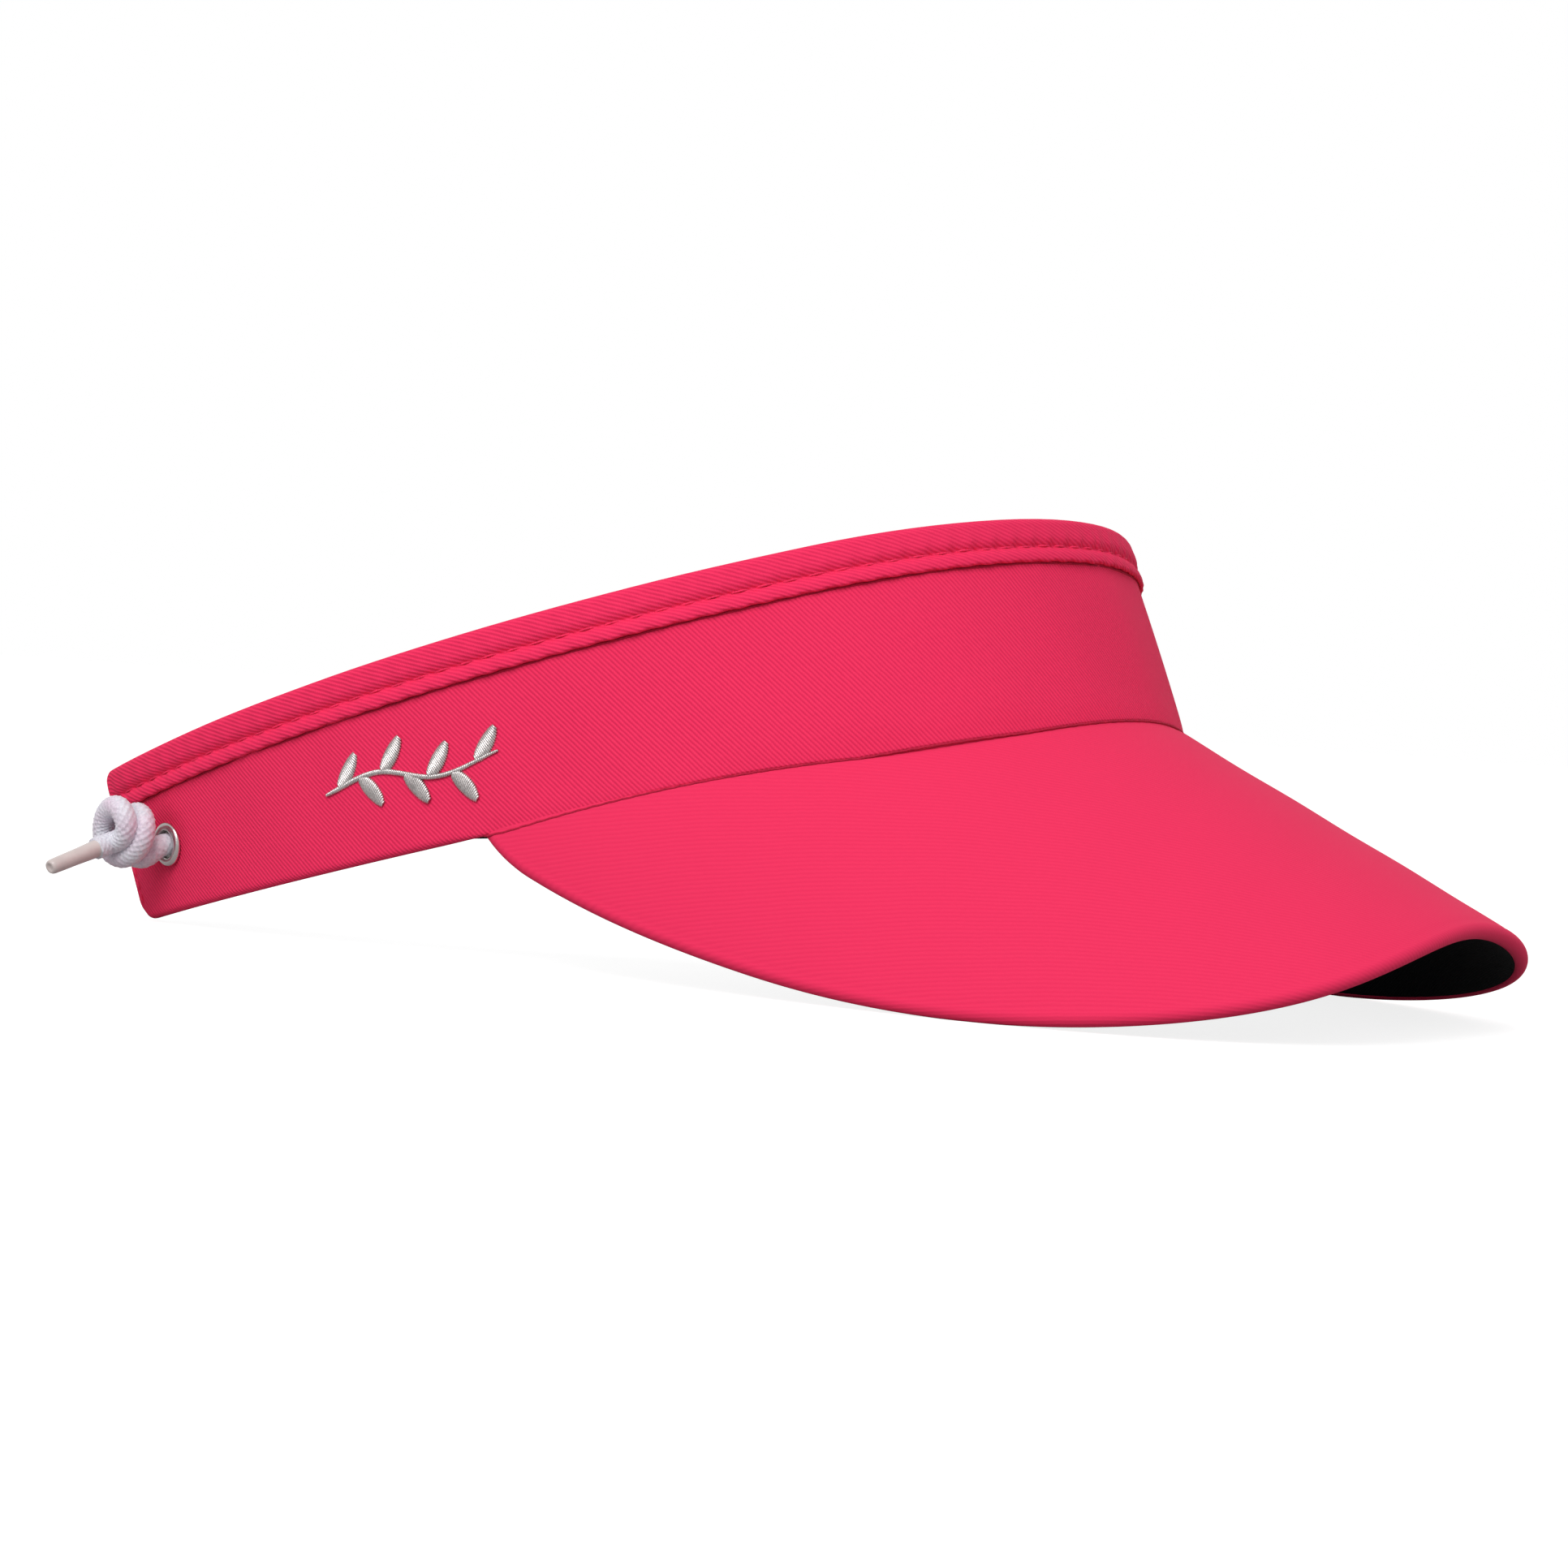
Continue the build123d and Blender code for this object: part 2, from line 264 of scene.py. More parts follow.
def smooth_section(points, count):
    """count points along a smooth line through the given points."""
    points = np.array(points, float)
    steps = np.linalg.norm(np.diff(points, axis=0), axis=1)
    at = np.concatenate(((0,), np.cumsum(steps)))
    slope = np.gradient(points, at, axis=0)
    where = np.linspace(0, at[-1], count)
    k = np.clip(np.searchsorted(at, where) - 1, 0, len(points) - 2)
    width = steps[k][:, None]
    t = ((where - at[k]) / steps[k])[:, None]
    first = (2 * t**3 - 3 * t**2 + 1) * points[k] + (t**3 - 2 * t**2 + t) * width * slope[k]
    last = (3 * t**2 - 2 * t**3) * points[k + 1] + (t**3 - t**2) * width * slope[k + 1]
    return first + last


def turned(name, section, count, sides, place, material, flat=1.0, uneven=0):
    """A piece turned about the z axis of a place, from a section of (radius, reach) in mm."""
    vertices = []
    for radius, reach in smooth_section(section, count) * MM:
        for k in range(sides):
            angle = 2 * math.pi * k / sides
            wave = 0.018 * math.sin(2 * angle + reach * 300) + 0.01 * math.sin(3 * angle)
            wide = radius * (1 + uneven * wave)
            point = Vector((wide * math.cos(angle), wide * flat * math.sin(angle), reach))
            vertices.append(place @ point)
    return new_object(name, vertices, ring_faces(count, sides), material=material)


def tube(points, radius_at, sides):
    """Vertices, faces and uvs of a round tube along points, closed at both ends."""
    points = np.array(points, float)
    tangents = np.gradient(points, axis=0)
    tangents /= np.linalg.norm(tangents, axis=1)[:, None]
    steps = np.linalg.norm(np.diff(points, axis=0), axis=1)
    lengths = np.concatenate(((0,), np.cumsum(steps)))
    normal = Vector(tangents[0]).orthogonal().normalized()
    around = np.linspace(0, 2 * math.pi, sides, endpoint=False)
    rings, uvs = [], []
    before = Vector(tangents[0])
    for point, tangent, length in zip(points, tangents, lengths):
        tangent = Vector(tangent)
        normal = before.rotation_difference(tangent) @ normal
        normal = (normal - tangent * normal.dot(tangent)).normalized()
        before = tangent
        side = tangent.cross(normal)
        radius = radius_at(length, around)[:, None]
        ring = np.cos(around)[:, None] * np.array(normal) + np.sin(around)[:, None] * np.array(side)
        rings.append(point + ring * radius)
        uvs.append(np.stack((around / (2 * math.pi), np.full(sides, length)), axis=-1))
    count = len(rings)
    faces = ring_faces(count, sides)
    vertices = np.concatenate(rings)
    last = len(vertices)
    vertices = np.concatenate((vertices, points[:1], points[-1:]))
    uvs = np.concatenate(uvs + [np.zeros((2, 2))])
    for c in range(sides):
        n = (c + 1) % sides
        faces.append((n, c, last))
        faces.append(((count - 1) * sides + c, (count - 1) * sides + n, last + 1))
    return vertices, faces, uvs


def spline_points(control, resolution=16):
    """Points of a smooth NURBS line with these control points."""
    data = bpy.data.curves.new("route", "CURVE")
    data.dimensions = "3D"
    spline = data.splines.new("NURBS")
    spline.points.add(len(control) - 1)
    for point, place in zip(spline.points, control):
        point.co = (*place, 1)
    spline.order_u = 3
    spline.use_endpoint_u = True
    spline.resolution_u = resolution
    holder = bpy.data.objects.new("route", data)
    bpy.context.scene.collection.objects.link(holder)
    bpy.context.view_layer.update()
    line = bpy.data.meshes.new_from_object(holder)
    points = [v.co.copy() for v in line.vertices]
    bpy.data.objects.remove(holder)
    bpy.data.curves.remove(data)
    bpy.data.meshes.remove(line)
    return points


def even_points(points, step):
    """The same line with evenly spaced points."""
    points = np.array(points, float)
    lengths = np.concatenate(((0,), np.cumsum(np.linalg.norm(np.diff(points, axis=0), axis=1))))
    where = np.linspace(0, lengths[-1], max(2, round(lengths[-1] / step) + 1))
    return np.stack([np.interp(where, lengths, points[:, axis]) for axis in range(3)], axis=-1)


def bend_with_wing(obj):
    """Bakes the piece's placement into its mesh; the piece is not bent with the wing."""
    start, end = (Vector(to_frame(0, v, 0)) for v in (BEND_START, BEND_END))
    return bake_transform(obj)


# ---------------------------------------------------------------- materials
class Nodes:
    """Short calls for building a material's node tree."""

    def __init__(self, name, **finish):
        self.material = bpy.data.materials.new(name)
        self.material.use_nodes = True
        self.tree = self.material.node_tree
        self.shader = self.tree.nodes["Principled BSDF"]
        for socket, value in finish.items():
            self.shader.inputs[socket.replace("_", " ")].default_value = value

    def add(self, kind, inputs=(), **settings):
        made = self.tree.nodes.new(kind)
        for key, value in settings.items():
            setattr(made, key, value)
        for key, value in dict(inputs).items():
            if isinstance(value, bpy.types.NodeSocket):
                self.tree.links.new(value, made.inputs[key])
            else:
                made.inputs[key].default_value = value
        return made

    def math(self, operation, a, b=0.0, c=0.0):
        made = self.add("ShaderNodeMath", {0: a, 1: b, 2: c}, operation=operation)
        return made.outputs[0]

    def noise(self, vector, scale, detail=2.0, roughness=0.5):
        inputs = {"Vector": vector, "Scale": scale, "Detail": detail, "Roughness": roughness}
        return self.add("ShaderNodeTexNoise", inputs).outputs["Fac"]

    def ramp(self, value, *stops):
        made = self.add("ShaderNodeValToRGB", {"Fac": value})
        elements = made.color_ramp.elements
        while len(elements) < len(stops):
            elements.new(0.5)
        for element, (place, colour) in zip(elements, stops):
            element.position = place
            element.color = (*colour, 1)
        return made.outputs["Color"]

    def colour(self, value):
        self.tree.links.new(value, self.shader.inputs["Base Color"])

    def rough(self, value):
        self.tree.links.new(value, self.shader.inputs["Roughness"])

    def bump(self, *layers):
        """Layers of (height, distance in metres), the first one lowest."""
        normal = None
        for height, distance in layers:
            inputs = {"Height": height, "Distance": distance, "Strength": 1.0}
            if normal is not None:
                inputs["Normal"] = normal
            normal = self.add("ShaderNodeBump", inputs).outputs["Normal"]
        self.tree.links.new(normal, self.shader.inputs["Normal"])


def mixed(a, b, share):
    """A colour between a and b."""
    return tuple(x + (y - x) * share for x, y in zip(a, b))


def twill(name, base, angle, pitch, depth, contrast):
    """Twill cloth: diagonal ribs at an angle in the cloth's own plane, broken by cross yarns."""
    nodes = Nodes(name, Sheen_Weight=0.05, Sheen_Roughness=0.5)
    nodes.shader.inputs["Sheen Tint"].default_value = (*mixed(base, (1, 0.6, 0.7), 0.4), 1)
    nodes.shader.inputs["Specular IOR Level"].default_value = 0.16
    cloth = nodes.add("ShaderNodeUVMap", uv_map="cloth").outputs["UV"]
    axes = nodes.add("ShaderNodeSeparateXYZ", {0: cloth})
    across_u = nodes.math("MULTIPLY", axes.outputs[0], math.sin(angle))
    across = nodes.math("MULTIPLY_ADD", axes.outputs[1], math.cos(angle), across_u)
    along_u = nodes.math("MULTIPLY", axes.outputs[0], math.cos(angle))
    along = nodes.math("MULTIPLY_ADD", axes.outputs[1], -math.sin(angle), along_u)
    waver = nodes.math("MULTIPLY", nodes.noise(cloth, 260.0, 2.0), 0.35 * pitch)
    across = nodes.math("ADD", across, waver)
    rib = nodes.math("SINE", nodes.math("MULTIPLY", across, 2 * math.pi / pitch))
    rib = nodes.math("MULTIPLY_ADD", rib, 0.5, 0.5)
    skew = nodes.math("MULTIPLY_ADD", across, 0.5, along)
    yarn = nodes.math("SINE", nodes.math("MULTIPLY", skew, 2 * math.pi / (0.62 * pitch)))
    yarn = nodes.math("MULTIPLY_ADD", yarn, 0.5, 0.5)
    weave = nodes.math("MULTIPLY", rib, nodes.math("MULTIPLY_ADD", yarn, 0.3, 0.7))
    slub = nodes.noise(cloth, 900.0, 3.0, 0.6)
    cloudy = nodes.noise(cloth, 24.0, 3.0)
    tone = nodes.math("MULTIPLY_ADD", weave, 0.62, nodes.math("MULTIPLY", slub, 0.25))
    tone = nodes.math("MULTIPLY_ADD", cloudy, 0.18, tone)
    dark = tuple((1 - contrast) * x for x in base)
    light = mixed(base, (1, 0.45, 0.5), 0.16 * contrast)
    nodes.colour(nodes.ramp(tone, (0.12, dark), (0.5, base), (0.95, light)))
    nodes.rough(nodes.math("MULTIPLY_ADD", weave, -0.08, 0.9))
    nodes.bump((cloudy, 0.15 * MM), (weave, depth), (slub, 0.25 * depth))
    return nodes.material


def knit(name, base, scale, depth):
    """Fine knitted lining: small ribs with a little fuzz."""
    nodes = Nodes(name, Roughness=0.95, Sheen_Weight=0.02, Sheen_Roughness=0.5)
    nodes.shader.inputs["Specular IOR Level"].default_value = 0.08
    cloth = nodes.add("ShaderNodeUVMap", uv_map="cloth").outputs["UV"]
    axes = nodes.add("ShaderNodeSeparateXYZ", {0: cloth})
    wale = nodes.math("SINE", nodes.math("MULTIPLY", axes.outputs[0], 2 * math.pi / scale))
    course = nodes.math("SINE", nodes.math("MULTIPLY", axes.outputs[1], 2 * math.pi / (0.7 * scale)))
    loops = nodes.math("MULTIPLY_ADD", nodes.math("MULTIPLY", wale, course), 0.5, 0.5)
    fuzz = nodes.noise(cloth, 700.0, 4.0, 0.7)
    tone = nodes.math("MULTIPLY_ADD", loops, 0.5, nodes.math("MULTIPLY", fuzz, 0.5))
    light = mixed(base, (0.5, 0.5, 0.5), 0.03)
    nodes.colour(nodes.ramp(tone, (0.2, tuple(0.5 * x for x in base)), (0.9, light)))
    nodes.bump((loops, depth), (fuzz, depth))
    return nodes.material


def thread(name, base, shine, metallic=0.0):
    """Sewing thread: fine twist along each stitch. Also gives the dark pink of the thin tubes of
    painted shade.
    """
    nodes = Nodes(name, Roughness=shine, Metallic=metallic)
    nodes.shader.inputs["Specular IOR Level"].default_value = 0.3
    place = nodes.add("ShaderNodeTexCoord").outputs["Object"]
    fleck = nodes.noise(place, 2600.0, 2.0)
    patch = nodes.noise(place, 350.0, 2.0)
    tone = nodes.math("MULTIPLY_ADD", fleck, 0.7, nodes.math("MULTIPLY", patch, 0.4))
    stops = ((0.3, tuple(0.6 * x for x in base)), (0.75, tuple(min(1, 1.15 * x) for x in base)))
    nodes.colour(nodes.ramp(tone, *stops))
    nodes.bump((fleck, 0.05 * MM))
    return nodes.material


def braid(name):
    """Braided lace: pearly white with a faint pink tint in places."""
    nodes = Nodes(name, Roughness=0.48, Sheen_Weight=0.35, Sheen_Roughness=0.4)
    nodes.shader.inputs["Subsurface Weight"].default_value = 0.06
    nodes.shader.inputs["Subsurface Radius"].default_value = (0.8 * MM, 0.5 * MM, 0.6 * MM)
    nodes.shader.inputs["Subsurface Scale"].default_value = 1.0
    place = nodes.add("ShaderNodeTexCoord").outputs["Object"]
    fibre = nodes.noise(place, 2200.0, 3.0, 0.6)
    tint = nodes.noise(place, 130.0, 2.0)
    white = nodes.ramp(fibre, (0.25, (0.58, 0.57, 0.65)), (0.7, (0.80, 0.79, 0.85)))
    pink = nodes.ramp(fibre, (0.25, (0.60, 0.46, 0.58)), (0.7, (0.82, 0.70, 0.80)))
    share = nodes.ramp(tint, (0.45, (0, 0, 0)), (0.72, (1, 1, 1)))
    mix = nodes.add("ShaderNodeMix", {0: share, 6: white, 7: pink}, data_type="RGBA")
    nodes.colour(mix.outputs[2])
    nodes.bump((fibre, 0.08 * MM))
    return nodes.material


def moulded(name, base, roughness, speck, grain=900.0, **finish):
    """Moulded plastic or a plain floor: even colour with fine mottling and grain."""
    nodes = Nodes(name, Roughness=roughness, **finish)
    place = nodes.add("ShaderNodeTexCoord").outputs["Object"]
    fine = nodes.noise(place, grain, 3.0)
    broad = nodes.noise(place, 60.0, 2.0)
    tone = nodes.math("MULTIPLY_ADD", fine, 0.5, nodes.math("MULTIPLY", broad, 0.5))
    dark = tuple(x * (1 - 2 * speck) for x in base)
    nodes.colour(nodes.ramp(tone, (0.3, dark), (0.7, base)))
    nodes.rough(nodes.math("MULTIPLY_ADD", broad, 0.12, roughness - 0.06))
    nodes.bump((fine, 0.02 * MM))
    return nodes.material


def metal(name, base, roughness):
    """Polished pressed metal with faint turning marks."""
    nodes = Nodes(name, Metallic=1.0, Roughness=roughness)
    place = nodes.add("ShaderNodeTexCoord").outputs["Object"]
    marks = nodes.noise(place, 1800.0, 3.0)
    smudge = nodes.noise(place, 220.0, 2.0)
    nodes.colour(nodes.ramp(smudge, (0.2, tuple(0.85 * x for x in base)), (0.8, base)))
    nodes.rough(nodes.math("MULTIPLY_ADD", smudge, 0.16, roughness))
    nodes.bump((marks, 0.006 * MM))
    return nodes.material


PINK = (0.86, 0.025, 0.108)
band_twill = twill("band_twill", PINK, math.radians(60), 0.72 * MM, 0.10 * MM, 0.26)
binding_twill = twill("binding_twill", PINK, math.radians(30), 0.80 * MM, 0.11 * MM, 0.22)
brim_twill = twill("brim_twill", (0.79, 0.027, 0.103), math.radians(60), 0.72 * MM, 0.03 * MM, 0.05)
lining_knit = knit("lining_knit", (0.006, 0.006, 0.0065), 0.9 * MM, 0.10 * MM)
under_cloth = knit("under_cloth", (0.004, 0.004, 0.0045), 0.7 * MM, 0.08 * MM)
pink_thread = thread("pink_thread", PINK, 0.8)
# Painted shade: dark pink for the thin tubes laid in the brim's seam and under the binding's lower
# edge, where shadow falls.
painted_shade_line = thread("painted_shade_line", (0.46, 0.008, 0.045), 0.9)
black_thread = thread("black_thread", (0.02, 0.02, 0.022), 0.6)
silver_thread = thread("silver_thread", (0.66, 0.62, 0.61), 0.3, metallic=0.8)
lace_braid = braid("lace_braid")
aglet_plastic = moulded(
    "aglet_plastic", (0.66, 0.57, 0.55), 0.38, speck=0.08, grain=500.0, Coat_Weight=0.2
)
eyelet_metal = metal("eyelet_metal", (0.80, 0.78, 0.76), 0.16)


# ---------------------------------------------------------------- camera, light, floor
def direction(azimuth, elevation):
    """Unit vector at an azimuth from the front, positive to the left, and an elevation."""
    level = math.cos(elevation)
    return Vector((math.sin(azimuth) * level, -math.cos(azimuth) * level, math.sin(elevation)))


def photo_camera():
    """The camera, aimed past the headband at the photograph's angle."""
    azimuth, elevation, roll, yaw, pitch = (math.radians(v) for v in CAMERA_TURNS.values())
    away = direction(azimuth, elevation)
    right = Vector((math.cos(azimuth), math.sin(azimuth), 0))
    up = away.cross(right)
    ahead = (-away + right * math.tan(yaw) + up * math.tan(pitch)).normalized()
    level = ahead.cross(up).normalized()
    upright = level.cross(ahead)
    turned = level * math.cos(roll) + upright * math.sin(roll)
    top = upright * math.cos(roll) - level * math.sin(roll)
    data = bpy.data.cameras.new("camera")
    data.lens, data.sensor_width = CAMERA_LENS, 36.0
    data.clip_start, data.clip_end = 0.01, 50
    camera = bpy.data.objects.new("camera", data)
    bpy.context.scene.collection.objects.link(camera)
    axes = Matrix((turned, top, -ahead)).transposed().to_4x4()
    camera.matrix_world = Matrix.Translation(CAMERA_PIVOT + away * CAMERA_DISTANCE) @ axes
    bpy.context.scene.camera = camera


def light(name, azimuth, elevation, distance, size, watts):
    """A soft square light that faces the visor."""
    away = direction(math.radians(azimuth), math.radians(elevation))
    data = bpy.data.lights.new(name, "AREA")
    data.size, data.energy = size, watts
    lamp = bpy.data.objects.new(name, data)
    bpy.context.scene.collection.objects.link(lamp)
    aim = (-away).to_track_quat("-Z", "Y").to_matrix().to_4x4()
    lamp.matrix_world = Matrix.Translation(Vector((0, 0, 0.06)) + away * distance) @ aim


def surroundings():
    """White behind the visor as the camera sees it, and a softer light from everywhere else."""
    world = bpy.data.worlds.new("studio")
    world.use_nodes = True
    tree = world.node_tree
    place = tree.nodes.new("ShaderNodeTexCoord")
    toward = tree.nodes.new("ShaderNodeVectorMath")
    toward.operation = "DOT_PRODUCT"
    toward.inputs[1].default_value = BACKDROP_WAY
    tree.links.new(place.outputs["Generated"], toward.inputs[0])
    share = tree.nodes.new("ShaderNodeMapRange")
    share.interpolation_type = "SMOOTHSTEP"
    for socket, value in (("From Min", 0.45), ("From Max", 0.93), ("To Min", 0.5), ("To Max", 1.0)):
        share.inputs[socket].default_value = value
    tree.links.new(toward.outputs["Value"], share.inputs["Value"])
    background = tree.nodes["Background"]
    background.inputs["Color"].default_value = (1, 1, 1, 1)
    tree.links.new(share.outputs["Result"], background.inputs["Strength"])
    bpy.context.scene.world = world


def studio():
    """Plain pale floor that the camera sees as white, white surroundings and soft lights."""
    bpy.context.scene.view_settings.view_transform = "Standard"
    surroundings()
    light("key", -72, 44, 1.4, 0.7, 11.6)
    light("side", -105, 16, 1.5, 0.9, 3.4)
    light("front", -5, 30, 1.4, 0.9, 1.2)
    floor_material = moulded("floor", (FLOOR_TONE,) * 3, 0.9, speck=0.004)
    tree = floor_material.node_tree
    shader = tree.nodes["Principled BSDF"]
    shader.inputs["Emission Color"].default_value = (1, 1, 1, 1)
    seen = tree.nodes.new("ShaderNodeLightPath").outputs["Is Camera Ray"]
    glow = tree.nodes.new("ShaderNodeMath")
    glow.operation = "MULTIPLY"
    glow.inputs[1].default_value = FLOOR_GLOW
    tree.links.new(seen, glow.inputs[0])
    tree.links.new(glow.outputs[0], shader.inputs["Emission Strength"])
    corners = [(x * 20, y * 20, 0) for x, y in ((-1, -1), (1, -1), (1, 1), (-1, 1))]
    floor = new_object("floor", corners, [(0, 1, 2, 3)], material=floor_material)


photo_camera()
studio()


# ---------------------------------------------------------------- lace
def braided(length, around):
    """Radius of the braided lace: eight strands each way, over and under each other."""
    turn = LACE_STRANDS * around
    twist = length * LACE_TWIST / MM
    left = np.sin((turn + twist) / 2)
    right = np.sin((turn - twist) / 2)
    over = 0.25 * np.cos(turn) * math.cos(twist)
    relief = np.maximum(np.abs(left) * (0.75 + over), np.abs(right) * (0.75 - over))
    return LACE_RADIUS * (0.93 + 0.16 * relief)


def lace_piece(name, line, step, sides):
    """A lace along a line, as a braided mesh, and the points it follows."""
    line = even_points(line, step)
    vertices, faces, uvs = tube(line, braided, sides)
    obj = new_object(name, vertices, faces, uvs, lace_braid)
    return obj, line


def line_length(line):
    return float(np.linalg.norm(np.diff(line, axis=0), axis=1).sum())


def tail_route(place):
    """Control points of a tail: out of its eyelet, round its coil and into its aglet."""
    local = [Vector((0, 0, TAIL_START))] + [Vector(point) * MM for point in TAIL_COIL]
    local += [AGLET_BASE + AGLET_WAY * reach * MM for reach in (-0.8, 0.4, 2.5)]
    return [place @ point for point in local]


def aglet(name, place):
    """Moulded tip: a thin sleeve over the lace, tapered to a slightly rounded, dished end."""
    turn = Vector((0, 0, 1)).rotation_difference(AGLET_WAY).to_matrix().to_4x4()
    matrix = place @ Matrix.Translation(AGLET_BASE) @ turn
    obj = turned(name, AGLET_SECTION, 60, 48, matrix, aglet_plastic, flat=0.96, uneven=1)
    return obj


def back_line(place, side):
    """Line of the curly lace from its eyelet to the middle of the back."""
    route = [place @ Vector((0, 0, reach)) for reach in (BACK_START, -5.0 * MM, BACK_LEAD)]
    route += [Vector((-side * x, y, z)) * MM for x, y, z in BACK_ROUTE]
    line = even_points(spline_points(route), 0.25 * MM)
    tangents = np.gradient(line, axis=0)
    tangents /= np.linalg.norm(tangents, axis=1)[:, None]
    reach = np.linspace(0, line_length(line), len(line))
    total = reach[-1]
    begin = np.clip((reach - 5.0 * MM) / (9 * MM), 0, 1)
    speed = np.clip((reach - 4.0 * MM) / (5 * MM), 0, 1) * np.clip((total - reach) / (6 * MM), 0, 1)
    phase = np.cumsum(speed) * (reach[1] - reach[0]) / CURL_PITCH * 2 * math.pi
    phase += math.radians(90) - phase[-1]
    swell = 1 + 0.05 * np.sin(reach / (13 * MM)) + 0.04 * np.sin(reach / (5.3 * MM) + 2)
    radius = CURL_RADIUS * (3 * begin**2 - 2 * begin**3) * swell
    upright = np.array((0, 0, 1.0)) - tangents * tangents[:, 2:3]
    upright /= np.linalg.norm(upright, axis=1)[:, None]
    level = np.cross(tangents, upright) * side
    return line + radius[:, None] * (np.cos(phase)[:, None] * level + np.sin(phase)[:, None] * upright)


def make_lace(side_name):
    """One side's lace: the tail with its coil and aglet, and half of the curly back lace."""
    side = SIDES[side_name]
    place = eyelet_frame(side)
    tip = aglet(f"{side_name}_aglet_sleeve", place)
    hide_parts(f"{side_name}_aglet")
    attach(tip, f"{side_name}_lace_end")
    route = spline_points(tail_route(place))
    tail, line = lace_piece(f"{side_name}_tail_braid", route, 0.19 * MM, 56)
    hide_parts(f"{side_name}_lace_tail", f"{side_name}_lace_curl")
    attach(tail, f"{side_name}_lace_end")
    back, line = lace_piece(f"{side_name}_back_braid", back_line(place, side), 0.25 * MM, 48)
    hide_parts(f"{side_name}_back_lace")
    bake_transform(back)


for name in SIDES:
    make_lace(name)


# ---------------------------------------------------------------- headband cloth
def rolled_sheet(side, low, high, end, corners, roll, inset, turn, closed_top, tuck):
    """One side's sheet of cloth with its edges rolled over: vertices, faces and uvs.

    low and high give the finished edges at an arc length, corners the radii at the rear end,
    roll the edge's radius and inset the face's inset. turn is 1 where the edges roll inwards
    and -1 where they roll outwards; tuck is what is turned under past the roll.
    """
    last = end - roll(end)
    radii = [max(0.3 * MM, corner - roll(end)) for corner in corners]
    straight = last - max(radii)
    columns = np.concatenate(
        (
            np.linspace(0, straight, round(straight / MM) + 1),
            straight + max(radii) * np.sin(np.linspace(0, math.pi / 2, 13)[1:]),
        )
    )

    def cut(radius):
        into = np.clip(columns - (last - radius), 0, radius)
        return radius - np.sqrt(np.maximum(0, radius**2 - into**2))

    bottom = low(columns) + roll(columns) + cut(radii[0])
    top = high(columns) - (roll(columns) if closed_top else 0) - cut(radii[1])
    rows = 46
    share = np.linspace(0, 1, rows)[:, None]
    s = np.broadcast_to(columns, (rows, len(columns)))
    h = bottom + (top - bottom) * share
    depth = inset(s, h)
    count = len(columns)
    loop = list(range(count)) + [r * count + count - 1 for r in range(1, rows)]
    if closed_top:
        loop += [(rows - 1) * count + c for c in range(count - 2, -1, -1)]
    edge_s, edge_h, edge_depth = (a.ravel()[loop] for a in (s, h, depth))
    along_s, along_h = np.gradient(edge_s), np.gradient(edge_h)
    length = np.hypot(along_s, along_h)
    out_s, out_h = along_h / length, -along_s / length
    out_s[0], out_h[0] = 0, -1
    if closed_top:
        out_s[-1], out_h[-1] = 0, 1
    radius = roll(edge_s)
    places = [(s.ravel(), h.ravel(), depth.ravel())]
    uvs = [np.stack((s.ravel(), h.ravel()), axis=-1)]

    def add_ring(reach, fall, run):
        """A ring of points outwards from the edge, turned over by fall, run along the cloth."""
        places.append((edge_s + out_s * reach, edge_h + out_h * reach, edge_depth + fall))
        uvs.append(np.stack((edge_s + out_s * run, edge_h + out_h * run), axis=-1))

    for angle in np.linspace(0, math.pi, 10)[1:]:
        fall = turn * radius * (1 - math.cos(angle))
        add_ring(radius * math.sin(angle), fall, radius * angle)
    for back in (0.5 * tuck, tuck):
        add_ring(-back, turn * 2 * radius, radius * math.pi + back)
    vertices = np.concatenate([wall(side * a, b, c) for a, b, c in places])
    uvs = np.concatenate(uvs)
    uvs[:, 0] *= side
    flip = (side * turn) < 0
    faces = grid_faces(rows, count, flip=flip)
    centre = np.array((reach_of(EYELET_FACING), EYELET_HEIGHT))
    flat = np.stack((s.ravel(), h.ravel()), axis=-1)
    faces = [f for f in faces if np.linalg.norm(flat[list(f)].mean(axis=0) - centre) > 3.2 * MM]
    rings = [np.array(loop)]
    start = rows * count
    for _ in places[1:]:
        rings.append(np.arange(start, start + len(loop)))
        start += len(loop)
    for inner, outer in zip(rings, rings[1:]):
        for k in range(len(loop) - 1):
            quad = (inner[k + 1], inner[k], outer[k], outer[k + 1])
            faces.append(tuple(int(q) for q in (quad[::-1] if flip else quad)))
    return vertices, faces, uvs


def smooth_step(value, start, end):
    share = np.clip((value - start) / (end - start), 0, 1)
    return share * share * (3 - 2 * share)


TIP = reach_of(TIP_FACING)


def sewn_edge(s):
    """Finished lower edge of the outer twill: the headband's edge, or the brim's top above it."""
    height = edge(LOWER_EDGE, s)
    own = height
    for _ in range(4):
        x, y, z = (wall(s, height) - BAND_FRONT).T
        height = height + (arch_height(x, y) - z) / (
            math.cos(TILT) - math.tan(BRIM_SLOPE) * math.sin(TILT)
        )
    sewn = 1 - smooth_step(s, TIP - 3 * MM, TIP + 5 * MM)
    return own + np.maximum(0, height - own + 0.3 * MM) * sewn


def near_eyelet(s, h):
    """1 at the eyelet's flange, falling away round it."""
    away = np.hypot(s - reach_of(EYELET_FACING), h - EYELET_HEIGHT)
    return np.exp(-(((away - FLANGE_RADIUS) / (2.2 * MM)) ** 2))


